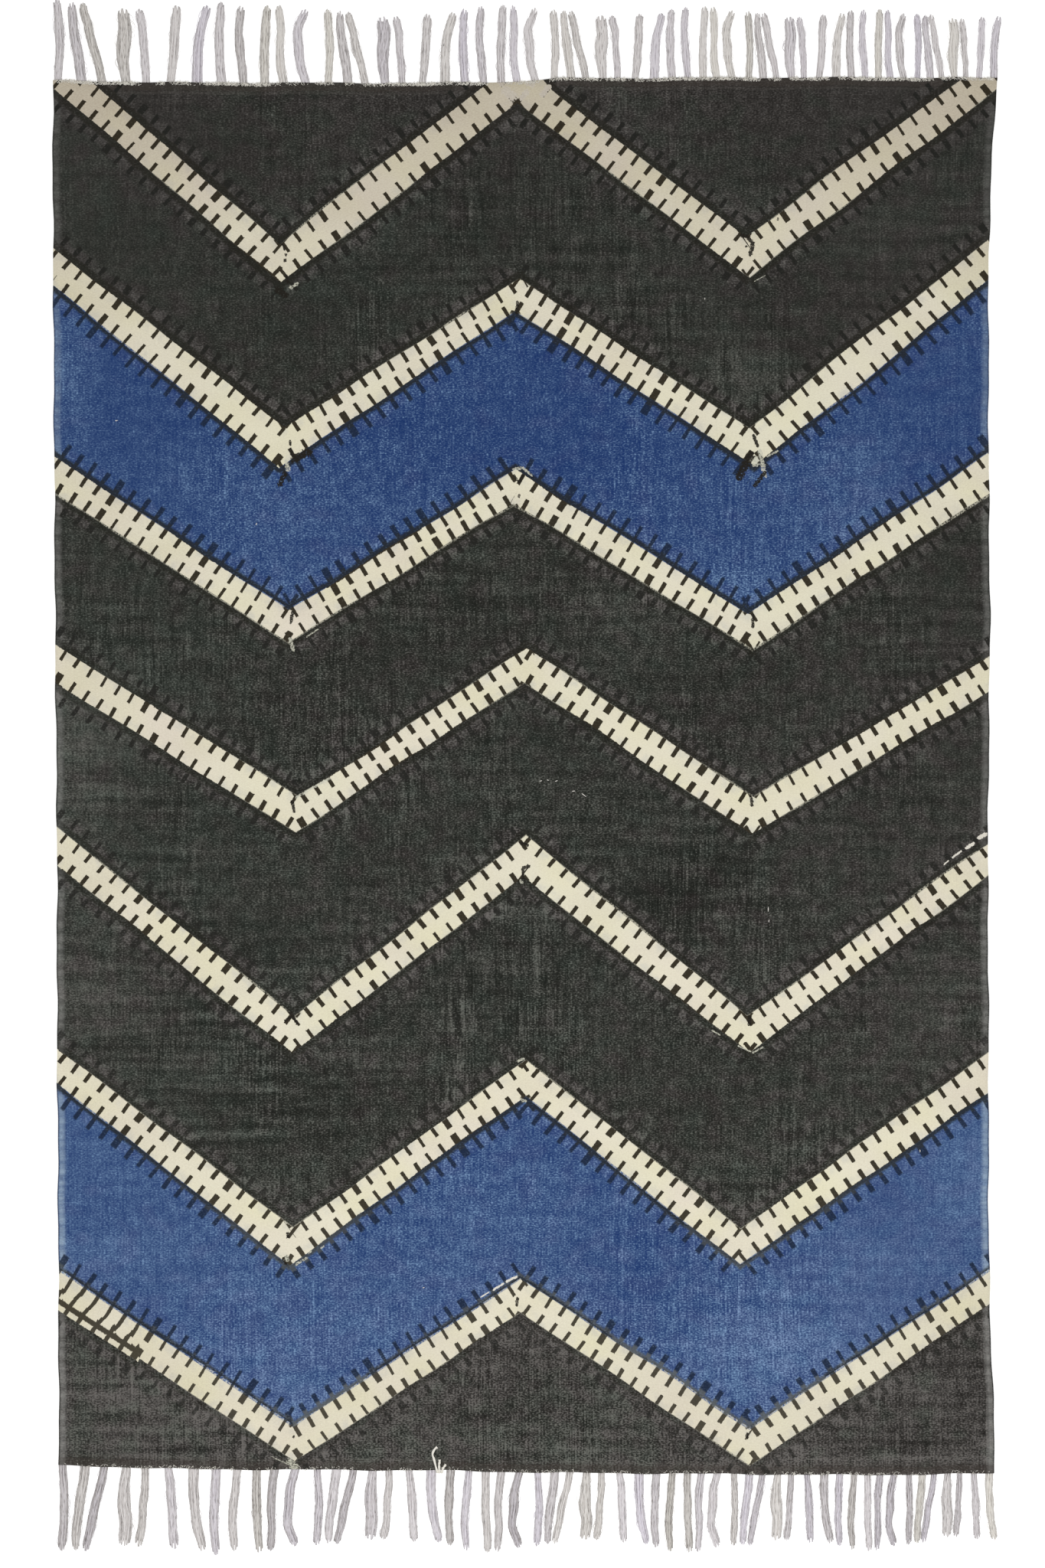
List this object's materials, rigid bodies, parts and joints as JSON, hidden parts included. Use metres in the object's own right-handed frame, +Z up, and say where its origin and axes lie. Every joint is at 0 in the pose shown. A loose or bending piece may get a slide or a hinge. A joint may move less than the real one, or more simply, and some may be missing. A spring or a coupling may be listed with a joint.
{
  "type": "dhurrie rug",
  "caption": "Flat-woven cotton dhurrie rug, printed in charcoal and blue with cream zigzags edged in stitch-like ticks, with a yarn fringe along each short end.",
  "frame": {"origin": "middle of the rug, on the floor that it lies on", "axes": "+Z up from the printed face, +Y along the rug towards the fringe_top end, +X across the rug"},
  "size_m": [1.2142, 1.9847, 0.004],
  "materials": {
    "printed_cotton": "matt flat-woven cotton, hand-printed in charcoal, blue and black on undyed cream",
    "fringe_yarn": "matt undyed cotton yarn, loosely twisted"
  },
  "bodies": {
    "root": {"rug_field": "printed_cotton", "fringe_top": "fringe_yarn", "fringe_bottom": "fringe_yarn"}
  },
  "joints": []
}
